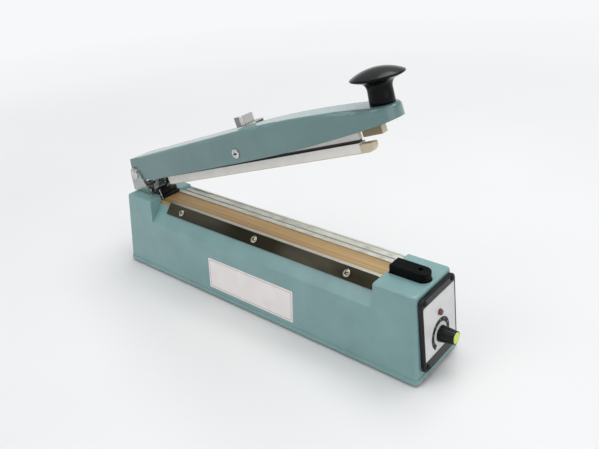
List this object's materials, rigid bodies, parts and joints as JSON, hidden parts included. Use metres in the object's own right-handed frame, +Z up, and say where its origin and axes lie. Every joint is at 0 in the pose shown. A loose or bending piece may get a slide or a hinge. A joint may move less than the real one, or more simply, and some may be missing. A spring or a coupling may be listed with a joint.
{
  "type": "bag sealer",
  "caption": "Hand impulse bag sealer: long cast base with heated bed, hinged sprung arm with pressure bar, sliding cutter and mushroom knob, timer knob and lamp on the end panel.",
  "frame": {"origin": "on the table under the middle of the whole part", "axes": "+X along the base to the control panel, +Y to the far side, +Z up"},
  "size_m": [0.4379, 0.08, 0.2801],
  "materials": {
    "teal_paint": "satin hammered paint on cast aluminium",
    "plated_steel": "zinc plated",
    "spring_steel": "bright wire",
    "polished_steel": "polished",
    "raw_aluminium": "brushed",
    "ptfe": "coated glass cloth",
    "nichrome": "drawn",
    "silicone": "matt",
    "black_rubber": "matt",
    "black_plastic": "fine grain",
    "black_gloss": "polished",
    "white_plate": "satin",
    "red_lens": "clear tint",
    "lime_plastic": "moulded",
    "red_plastic": "moulded",
    "board": "laminate",
    "core_steel": "laminated",
    "winding": "enamelled copper",
    "brass": "drawn"
  },
  "bodies": {
    "base": {"base_casting": "teal_paint", "bottom_cover": "plated_steel", "cover_screws": "plated_steel", "rubber_feet": "black_rubber", "foot_screws": "plated_steel", "bed_bar": "raw_aluminium", "heating_ribbon": "nichrome", "ptfe_cloth": "ptfe", "front_strip": "polished_steel", "clamp_screws": "plated_steel", "rear_rail": "raw_aluminium", "rail_screws": "plated_steel", "terminal_insulators": "black_plastic", "terminal_clamps": "brass", "terminal_cover": "black_plastic", "hinge_bracket": "plated_steel", "bracket_screws": "plated_steel", "hinge_pin": "plated_steel", "pin_clip": "plated_steel", "spring_near": "spring_steel", "spring_far": "spring_steel", "panel_frame": "black_plastic", "dial_plate": "white_plate", "panel_screws": "plated_steel", "indicator_lamp": "red_lens", "timer_pot": "black_plastic", "pot_nut": "plated_steel", "timer_board": "board", "transformer_core": "core_steel", "transformer_coil": "winding", "transformer_strap": "plated_steel", "inner_screws": "plated_steel", "switch_bracket": "plated_steel", "lever_pin": "plated_steel", "micro_switch": "black_plastic", "cord_gland": "black_rubber", "fuse_holder": "black_plastic"},
    "arm": {"arm_casting": "teal_paint", "handle_knob": "black_gloss", "handle_screw": "plated_steel", "bumper": "silicone", "bumper_screw": "plated_steel", "pivot_screw": "plated_steel", "cutter_guide": "raw_aluminium", "guide_screws": "plated_steel"},
    "bar": {"pressure_bar": "raw_aluminium", "silicone_strip": "silicone"},
    "cutter": {"cutter_carriage": "black_plastic", "cutter_blade": "polished_steel", "cutter_tab": "polished_steel", "cutter_screws": "plated_steel"},
    "timer": {"timer_knob": "black_plastic", "knob_cap": "lime_plastic", "pot_shaft": "plated_steel"},
    "lever": {"switch_lever": "black_plastic"},
    "plunger": {"switch_plunger": "red_plastic"}
  },
  "joints": [
    {"name": "arm_hinge", "type": "hinge", "parent": "base", "child": "arm", "pos_m": [-0.20687, 0, 0.114], "axis": [0, -1, 0], "range_deg": [-19.5, 0], "stiffness_Nm_per_rad": 5, "springref_deg": 31.51, "deforming": ["spring_near", "spring_far"]},
    {"name": "bar_rock", "type": "hinge", "parent": "arm", "child": "bar", "pos_m": [-0.02367, 0, 0.17782], "axis": [0, -1, 0], "range_deg": [0, 0.6]},
    {"name": "cutter_slide", "type": "slide", "parent": "arm", "child": "cutter", "axis": [0.9426, 0, 0.3338], "range_m": [-0.1245, 0.1415]},
    {"name": "timer_turn", "type": "hinge", "parent": "base", "child": "timer", "pos_m": [0.1975, 0, 0.0389], "axis": [0.9969, 0, 0.0784], "range_deg": [-135, 135]},
    {"name": "switch_lever", "type": "hinge", "parent": "base", "child": "lever", "pos_m": [0.17713, 0, 0.085], "axis": [0, -1, 0], "range_deg": [0, 5], "stiffness_Nm_per_rad": 0.5, "springref_deg": -5.73},
    {"name": "switch_plunger", "type": "slide", "parent": "base", "child": "plunger", "axis": [0, 0, -1], "range_m": [0, 0.002]}
  ],
  "couplings": [
    {"joint": "bar_rock", "follows": "arm_hinge", "ratio": -0.0307},
    {"joint": "switch_plunger", "follows": "switch_lever", "m_per_rad": 0.0215}
  ]
}
